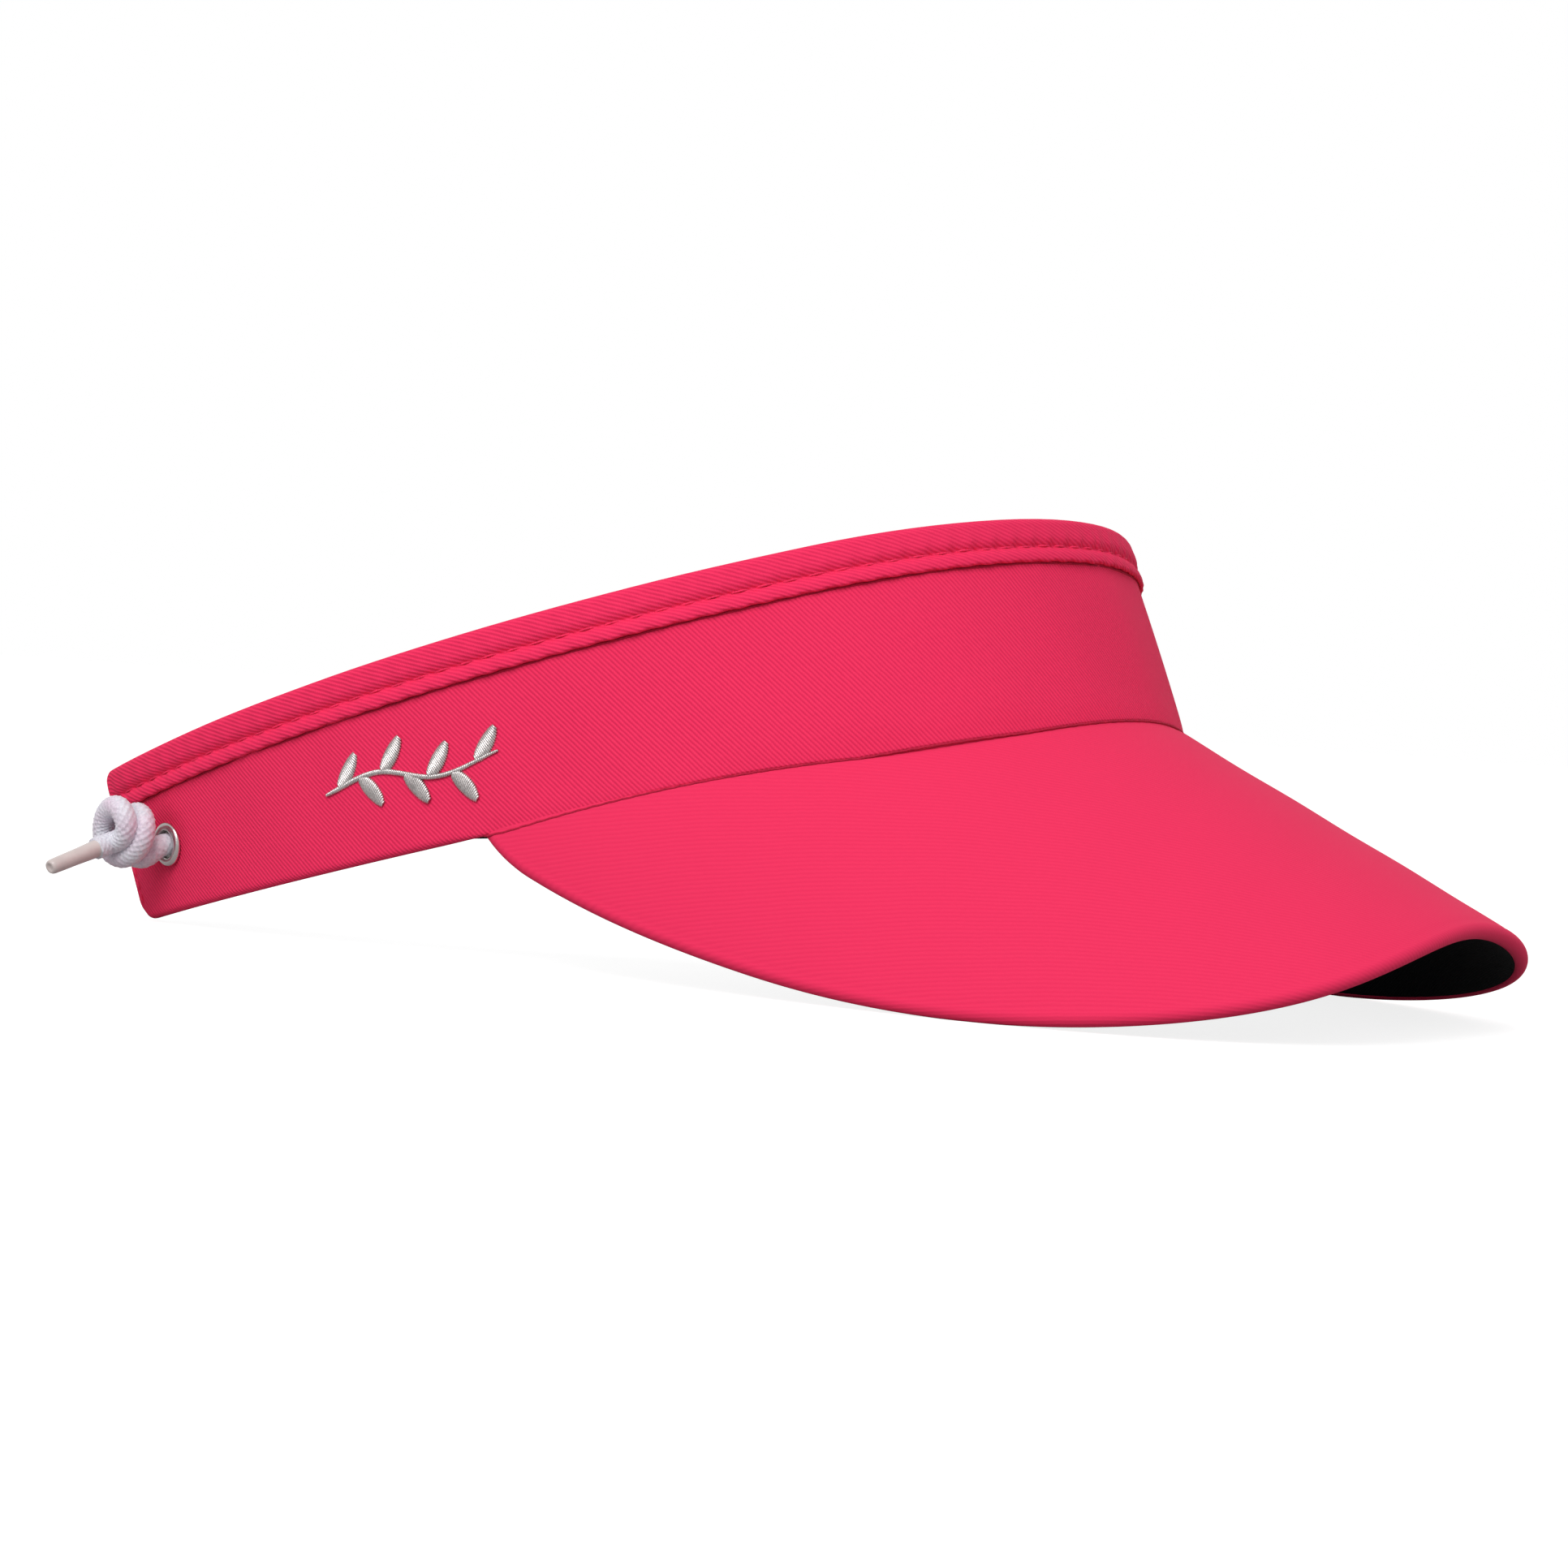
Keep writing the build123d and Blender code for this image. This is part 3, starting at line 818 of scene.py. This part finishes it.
def band_cover(side_name):
    """Outer twill of one side, turned under along the bottom and the rear end."""
    side = SIDES[side_name]

    def roll(s):
        return (0.5 + 0.7 * smooth_step(s, TIP - 6 * MM, TIP + 8 * MM)) * MM

    def face(s, h):
        rise = h - edge(LOWER_EDGE, s)
        fade = smooth_step(rise, 0, 8 * MM) * smooth_step(END - s, 0, 10 * MM)
        slack = 0.28 * ripple(side * s, h, 4) * fade + 0.3 * near_eyelet(s, h)
        stitched = np.exp(-(((END - REAR_INSET - s) / (0.7 * MM)) ** 2)) * 0.22
        seam = np.exp(-((rise / (2.6 * MM)) ** 2)) * 0.25 * (1 - smooth_step(s, TIP - 6 * MM, TIP))
        return (slack + stitched + seam) * MM

    vertices, faces, uvs = rolled_sheet(
        side,
        sewn_edge,
        lambda s: edge(UPPER_EDGE, s) - 4 * MM,
        END,
        (CORNER_RADIUS, 0.3 * MM),
        roll,
        face,
        1,
        False,
        1.0 * MM,
    )
    obj = new_object(f"{side_name}_band_twill", vertices, faces, uvs, band_twill)
    hidden = ("band_cover_front", "band_interfacing_front", "brim_seam_tape")
    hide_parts(*hidden, f"{side_name}_band_cover", f"{side_name}_band_interfacing")
    bend_with_wing(obj)


def lining(side_name):
    """Black inner lining of one side, a soft sheet with turned edges all round."""
    side = SIDES[side_name]

    def low(s):
        meets_brim = 1 - smooth_step(s, TIP - 6 * MM, TIP + 6 * MM)
        return edge(LOWER_EDGE, s) + (0.9 - 1.6 * meets_brim) * MM

    def roll(s):
        return np.full(np.shape(s), 0.75 * MM)[()]

    def face(s, h):
        rise = (h - edge(LOWER_EDGE, s)) / (edge(UPPER_EDGE, s) - edge(LOWER_EDGE, s))
        puff = 0.35 * np.sin(math.pi * np.clip(rise, 0, 1)) ** 0.5
        line = edge(UPPER_EDGE, s) - STITCH_DROP
        needle = np.exp(-(((h - line) / (0.9 * MM)) ** 2))
        held = needle * (0.35 + 0.25 * np.cos(2 * math.pi * s / STITCH_PITCH))
        slack = 0.3 * ripple(side * s, h, 9) * smooth_step(END - s, 0, 12 * MM)
        return WALL + (puff + slack - held - 0.3 * near_eyelet(s, h)) * MM

    vertices, faces, uvs = rolled_sheet(
        side,
        low,
        lambda s: edge(UPPER_EDGE, s) - 0.1 * MM,
        END - 0.9 * MM,
        (CORNER_RADIUS, TOP_CORNER_RADIUS),
        roll,
        face,
        -1,
        True,
        0.6 * MM,
    )
    obj = new_object(f"{side_name}_lining_sheet", vertices, faces, uvs, lining_knit)
    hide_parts("band_lining_front", f"{side_name}_band_lining")
    bend_with_wing(obj)


BINDING_SECTION = (
    (0.45, -7.8), (-0.1, -8.35), (-0.55, -9.0), (-1.15, -8.85), (-1.35, -8.0), (-1.3, -7.2),
    (-0.85, -6.3), (-0.45, -5.85), (-0.85, -5.4), (-1.25, -4.6), (-1.35, -3.4), (-1.3, -2.2),
    (-1.15, -1.1), (-0.6, -0.3), (0.2, 0.0), (1.0, -0.05), (1.7, -0.35), (1.95, -1.0),
)


def needle_wave(s, sharpness):
    """1 at each needle hole of the binding, 0 between them."""
    return (0.5 + 0.5 * np.cos(2 * math.pi * s / STITCH_PITCH)) ** sharpness


def binding(side_name):
    """Bias strip folded over the top edge, drawn in by its topstitches."""
    side = SIDES[side_name]
    section = smooth_section(BINDING_SECTION, 52)
    fine = END - 1.2 * MM
    columns = np.concatenate(
        (
            np.linspace(0, fine, round(fine / (0.5 * MM)) + 1),
            fine + 1.2 * MM * np.sin(np.linspace(0, math.pi / 2, 8)[1:]),
        )
    )
    out, below = section[:, :1], section[:, 1:]
    s = np.broadcast_to(columns, (len(section), len(columns)))
    from_line = below + STITCH_DROP / MM
    outer = out < 0.3
    pull = np.exp(-((from_line / 1.5) ** 2)) * outer
    crease = np.sin(2 * math.pi * (s - 0.25 * from_line * MM) / STITCH_PITCH + 0.9)
    spread = np.exp(-((from_line / 3.6) ** 2)) * outer
    uneven = 1 + 0.35 * ripple(s * 3.1, np.zeros_like(s), 11)
    inset = out + 0.42 * pull * needle_wave(s, 3) - 0.15 * spread * crease * uneven
    inset = inset - 0.12 * ripple(side * s, below * MM, 17) * outer
    centre = 0.6
    flatter = 1 - 0.45 * smooth_step(s, END - 9 * MM, END - 1.2 * MM) * outer
    inset = inset * np.where(inset < 0, flatter, 1)
    shrink = np.sqrt(1 - np.clip((s - fine) / (1.2 * MM), 0, 1) ** 2)
    inset = centre + (inset - centre) * shrink
    corner = 3.0
    into = np.clip((s - (END - corner * MM)) / MM, 0, corner)
    drop = corner - np.sqrt(np.maximum(0, corner**2 - into**2))
    wave = 0.10 * np.sin(2 * math.pi * s / STITCH_PITCH + 0.4) * np.exp(-((below + 9.1) ** 2) / 1.5)
    deep = 9.15
    height = edge(UPPER_EDGE, s) + (-deep + (below + deep) * (deep - drop) / deep + wave) * MM
    vertices = wall(side * s, height, inset * MM).reshape(-1, 3)
    steps = np.linalg.norm(np.diff(section, axis=0), axis=1)
    reach = np.concatenate(((0,), np.cumsum(steps)))[:, None] * MM
    uvs = np.stack((side * s, np.broadcast_to(reach, s.shape)), axis=-1).reshape(-1, 2)
    faces = grid_faces(len(section), len(columns), flip=side < 0)
    obj = new_object(f"{side_name}_binding_strip", vertices, faces, uvs, binding_twill)
    shared = ("binding_front", "binding_filler_front")
    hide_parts(*shared, f"{side_name}_binding", f"{side_name}_binding_filler")
    bend_with_wing(obj)


def bundle(name, paths, radius, material):
    """Threads, stitches or thin tubes of painted shade along paths, rounded off at both ends, as one
    piece.
    """
    vertices, faces, start = [], [], 0
    for path in paths:
        path = np.array(path, float)
        total = line_length(path)

        def girth(length, around, total=total):
            near = min(1.0, (min(length, total - length) + 0.12 * radius) / (1.6 * radius))
            return radius * math.sqrt(1 - (1 - near) ** 2) * np.ones_like(around)

        v, f, _ = tube(path, girth, 8)
        vertices.append(v)
        faces += [tuple(k + start for k in face) for face in f]
        start += len(v)
    obj = new_object(name, np.concatenate(vertices), faces, material=material)
    return obj


def stitch(side, s, h, run, rise, inset, bow):
    """Path of one stitch on the wall: from one needle hole to the next, bowed out between."""
    share = np.linspace(0, 1, 9)
    lift = bow * np.sin(math.pi * share) ** 0.6
    return wall(side * (s + run * (share - 0.5)), h + rise * (share - 0.5), inset - lift)


def stitches(side_name):
    """Topstitches round the binding, stitches up the rear end, and the lining's stitches."""
    side = SIDES[side_name]
    rng = random.Random(side)
    pink, black = [], []
    count = int((END - 2 * MM) / STITCH_PITCH)
    for k in range(count):
        s = (k + 0.5) * STITCH_PITCH + rng.uniform(-0.08, 0.08) * MM
        line = float(edge(UPPER_EDGE, s)) - STITCH_DROP + rng.uniform(-0.1, 0.1) * MM
        run = STITCH_RUN + rng.uniform(-0.2, 0.2) * MM
        pink.append(stitch(side, s, line, run, 0.2 * MM, 0.35 * MM, 0.90 * MM))
        away = abs(s - reach_of(EYELET_FACING))
        if away > 2 * MM or abs(line - EYELET_HEIGHT) > 6 * MM:
            black.append(stitch(side, s, line, 4.0 * MM, 0, 3.1 * MM, -0.42 * MM))
    rear = END - REAR_INSET
    low = float(edge(LOWER_EDGE, rear)) + 3.2 * MM
    high = float(edge(UPPER_EDGE, rear)) - BINDING_HEIGHT - 0.6 * MM
    for k in range(int((high - low) / REAR_PITCH)):
        h = low + (k + 0.5) * REAR_PITCH
        pink.append(stitch(side, rear, h, 0, 2.2 * MM, 0.35 * MM, 0.30 * MM))
    for label, paths, thread_material, slot in (
        ("topstitches", pink, pink_thread, "pink_twill"),
        ("lining_stitches", black, black_thread, "black_lining"),
    ):
        obj = bundle(f"{side_name}_{label}", paths, THREAD_RADIUS, thread_material)
        bend_with_wing(obj)


# ---------------------------------------------------------------- brim
def arch_height(x, y):
    """Height of the brim's top, before the frame's own shift."""
    fall = ARCH_RADIUS - np.sqrt(np.maximum(0, ARCH_RADIUS**2 - x**2))
    return ARCH_RISE + y * math.tan(BRIM_SLOPE) - fall / math.cos(BRIM_SLOPE)


def arch_normal(x):
    """Outward normal of the brim's top."""
    across = x / ARCH_RADIUS
    upright = np.sqrt(np.maximum(0, 1 - across**2))
    tilted = (-math.sin(BRIM_SLOPE) * upright, math.cos(BRIM_SLOPE) * upright)
    return np.stack((across, *tilted), axis=-1)


def brim_lines(count):
    """Matching points (x, y) of the seam and of the outline, from the right tip to the left."""
    s = np.linspace(-TIP, TIP, count)
    seam = wall(s, edge(LOWER_EDGE, s), 1.6 * MM) - BAND_FRONT
    back = seam[0, 1]
    share = ((BRIM_BACK - back) / BRIM_REACH) ** (BRIM_ROUNDNESS / 2)
    start = math.acos(share)
    turn = np.linspace(-start, start, 4001)
    power = 2 / BRIM_ROUNDNESS
    x = BRIM_HALF_WIDTH * np.sign(turn) * np.abs(np.sin(turn)) ** power
    y = BRIM_BACK - BRIM_REACH * np.abs(np.cos(turn)) ** power
    outline = even_points(np.stack((x, y, arch_height(x, y)), axis=-1), 0.1 * MM)
    pick = np.linspace(0, len(outline) - 1, count)
    rest = np.arange(len(outline))
    outline = np.stack([np.interp(pick, rest, outline[:, k]) for k in range(3)], axis=-1)
    return seam, outline


def brim_surface(seam, edge_line, share):
    """Points of the brim's top between two lines, raised where the seam is higher."""
    flat = seam + (edge_line - seam) * share
    x, y = flat[..., 0], flat[..., 1]
    z = arch_height(x, y)
    lift = np.maximum(0, seam[:, 2] - z[0])
    return x, y, z + lift * (1 - smooth_step(share[..., 0], 0, 0.5))


def unit(vectors):
    return vectors / np.maximum(1e-9, np.linalg.norm(vectors, axis=-1, keepdims=True))


def brim():
    """Pink top of the brim with its rolled rim and hem, and the black cloth under it."""
    count, rows, under_rows = 340, 120, 60
    seam, outline = brim_lines(count)
    rim = 0.5 * BRIM_DEPTH
    normal = arch_normal(outline[:, 0])
    outward = unit(np.cross(np.gradient(outline, axis=0), normal))
    travel = np.concatenate(((0,), np.cumsum(np.linalg.norm(np.diff(outline, axis=0), axis=1))))
    to_tip = np.clip(np.minimum(travel, travel[-1] - travel) / rim, 0, 1)[:, None]
    radius = rim * np.sqrt(1 - (1 - to_tip) ** 2)
    width = np.linalg.norm(outline - seam, axis=1)[:, None]

    def inner_line(setback):
        """The outline set back along the brim's surface, no further than the seam."""
        share = np.clip(1 - setback / np.maximum(width, 1e-9), 0, 1)
        far = outline - outward * setback
        near = seam + (outline - seam) * share
        blend = smooth_step(width, 2 * setback, 6 * setback)
        return near + (far - near) * blend

    sideways = smooth_step(np.abs(outward[:, :1]), 0.56, 0.86)
    downward = smooth_step(-outward[:, 2:], 0.5, 0.85) * smooth_step(width, 12 * MM, 40 * MM)
    edge_line = inner_line(rim * (1 + 0.6 * downward))
    share = np.linspace(0, 1, rows)[:, None, None] ** 1.35
    x, y, z = brim_surface(seam, edge_line, share)
    span = np.linalg.norm(edge_line - seam, axis=1)
    from_rim = span * (1 - share[..., 0])
    groove = 0.16 * MM * np.exp(-(((from_rim - 0.9 * MM) / (0.55 * MM)) ** 2))
    calm = smooth_step(from_rim, 0, 12 * MM) * smooth_step(span * share[..., 0], 0, 12 * MM)
    from_seam = span * share[..., 0]
    welt = 0.3 * MM * np.exp(-(((from_seam - 1.7 * MM) / (0.75 * MM)) ** 2))
    welt = welt * smooth_step(span, 2 * MM, 8 * MM)
    z += 0.22 * MM * ripple(x, y, 23) * calm - groove * smooth_step(span, 4 * MM, 14 * MM) - welt
    top = np.stack((x, y, z), axis=-1)
    rim_line = top[-1]
    layers = [top.reshape(-1, 3)]
    girths = []
    front_turn, side_turn = RIM_TURN
    full_turn = front_turn + (side_turn - front_turn) * sideways

    def rim_point(angle, proud=0.0):
        reach = radius * (1 + proud)
        return rim_line + outward * reach * np.sin(angle) - normal * (
            radius - reach * np.cos(angle)
        )

    for part in np.linspace(0, 1, 15)[1:]:
        layers.append(rim_point(part * full_turn))
        girths.append(radius * part * full_turn)
    layers.append(rim_point(full_turn + 0.12, -0.12))
    girths.append(radius * (full_turn + 0.12))
    round_arch = ARCH_RADIUS * np.arcsin(np.clip(x / ARCH_RADIUS, -1, 1))
    uvs = [np.stack((round_arch, y / math.cos(BRIM_SLOPE)), axis=-1).reshape(-1, 2)]
    edge_uv = uvs[0][-count:]
    way = unit(np.stack((outward[:, 0], outward[:, 1]), axis=-1))
    uvs += [edge_uv + way * girth for girth in girths]
    vertices = np.concatenate(layers) + BAND_FRONT
    faces = grid_faces(rows, count, flip=True)
    faces += grid_faces(len(layers), count, start=(rows - 1) * count, flip=True)
    obj = new_object("brim_top_twill", vertices, faces, np.concatenate(uvs), brim_twill)
    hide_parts("brim_top_cover", "brim_foam", "brim_board")
    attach(obj, "front")

    share = np.linspace(0, 1, under_rows)[:, None, None]
    x, y, z = brim_surface(seam, edge_line, share)
    calm = smooth_step(span * (1 - share[..., 0]), 0, 9 * MM)
    depth = 2 * rim - 0.25 * MM * ripple(x, y, 31) * calm
    under = np.stack((x, y, z), axis=-1) - arch_normal(x) * depth[..., None]
    lips = [
        rim_point(math.pi + (full_turn - 0.2 - math.pi) * part, -0.05)
        for part in np.linspace(0, 1, 9)[1:]
    ]
    vertices = np.concatenate([under.reshape(-1, 3), *lips]) + BAND_FRONT
    round_arch = ARCH_RADIUS * np.arcsin(np.clip(x / ARCH_RADIUS, -1, 1))
    uvs = np.stack((round_arch, y / math.cos(BRIM_SLOPE)), axis=-1).reshape(-1, 2)
    uvs = np.concatenate([uvs] + [uvs[-count:] + way * 0.4 * MM * (k + 1) for k in range(len(lips))])
    faces = grid_faces(under_rows + len(lips), count)
    obj = new_object("brim_under_cloth", vertices, faces, uvs, under_cloth)
    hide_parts("brim_under_cover")
    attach(obj, "front")


def seam_shade_line():
    """A thin dark pink tube along the seam where the brim comes out from under the headband: painted
    shade in the crease there.
    """
    s = np.arange(-TIP + 2 * MM, TIP - 2 * MM, 0.8 * MM)
    sewn = sewn_edge(np.abs(s)) - 0.15 * MM
    path = wall(s, sewn + 0.05 * MM * np.sin(s / (0.45 * MM)), 0.12 * MM)
    # Painted shade: the dark pink tube stands in for the shadow in the seam.
    obj = bundle("brim_seam_painted_shade", [path], 0.24 * MM, painted_shade_line)
    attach(obj, "front")


def binding_shadow_line(side_name):
    """The deep shadow line where the binding's lower edge stands off the headband."""
    side = SIDES[side_name]
    s = np.arange(0, END - 2 * MM, 0.8 * MM)
    path = wall(side * s, edge(UPPER_EDGE, s) - BINDING_HEIGHT - 0.12 * MM, 0.02 * MM)
    # Painted shadow: a dark pink tube stands in for the shadow under the binding's lower edge.
    obj = bundle(f"{side_name}_binding_shadow_line", [path], 0.2 * MM, painted_shade_line)
    bend_with_wing(obj)


# ---------------------------------------------------------------- eyelets and motif
def eyelet(side_name):
    """Pressed metal: a rounded flange outside, the barrel, and the flange rolled over inside."""
    place = eyelet_frame(SIDES[side_name])
    obj = turned(f"{side_name}_eyelet_metal", EYELET_SECTION, 80, 72, place, eyelet_metal)
    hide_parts(f"{side_name}_eyelet", f"{side_name}_eyelet_washer")
    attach(obj, f"{side_name}_wing")


def on_motif(points):
    """Row-frame points of the motif's plane, laid on the wall: (x forwards, y up, height)."""
    points = np.array(points, float) * MM
    along = points[:, 0] * math.cos(MOTIF_TURN) - points[:, 1] * math.sin(MOTIF_TURN)
    up = points[:, 0] * math.sin(MOTIF_TURN) + points[:, 1] * math.cos(MOTIF_TURN)
    return wall(-reach_of(MOTIF_FACING) + along, MOTIF_HEIGHT + up, -points[:, 2])


def satin(line, half_width, slant, crown):
    """Satin stitches across a line, crown high: half_width is a function of the share along it."""
    line = even_points([(*point, 0) for point in line], 0.4)[:, :2]
    ahead = unit(np.gradient(line, axis=0))
    paths = []
    for k, (point, way) in enumerate(zip(line, ahead)):
        share = k / (len(line) - 1)
        wide = half_width(share)
        if wide < 0.12:
            continue
        side = np.array((-way[1], way[0]))
        across = np.linspace(-1, 1, 9)
        lift = 0.02 + crown * (1 - np.abs(across) ** 2.2)
        places = point + across[:, None] * wide * (side + way * slant)
        paths.append(on_motif(np.column_stack((places, lift))))
    return paths


def motif():
    """A sprig in raised satin stitch: a curved stem with leaves on both sides in turn."""
    stem = smooth_section(STEM_POINTS, 200)
    lengths = np.concatenate(((0,), np.cumsum(np.linalg.norm(np.diff(stem, axis=0), axis=1))))

    def taper(share):
        return 0.6 * math.sqrt(max(0.0, 1 - abs(2 * share - 1) ** 6)) * (1 - 0.35 * share)

    paths = satin(stem, taper, 0.25, 0.32)
    long_radius, short_radius = LEAF_RADII
    for number, place in enumerate(LEAF_SHARES):
        side = 1 if number % 2 == 0 else -1
        root = [float(np.interp(place * lengths[-1], lengths, stem[:, k])) for k in range(2)]
        middle = np.array((root[0] + LEAF_STEP[0], root[1] + side * LEAF_STEP[1]))
        lean = side * LEAF_LEAN
        way = np.array((math.cos(lean), math.sin(lean)))
        along = np.linspace(-long_radius, long_radius, 40)
        bend = 0.35 * (1 - (along / long_radius) ** 2)
        leaf = middle + along[:, None] * way + bend[:, None] * np.array((-way[1], way[0])) * -side

        def width(share):
            return short_radius * math.sqrt(max(0.0, 1 - (2 * share - 1) ** 2)) * (1.15 - 0.3 * share)

        paths += satin(leaf, width, side * 0.35, 0.42)
    obj = bundle("sprig_embroidery", paths, 0.24 * MM, silver_thread)
    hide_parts("side_motif")
    bend_with_wing(obj)


for name in SIDES:
    band_cover(name)
    lining(name)
    binding(name)
    stitches(name)
    binding_shadow_line(name)
    eyelet(name)
brim()
seam_shade_line()
motif()
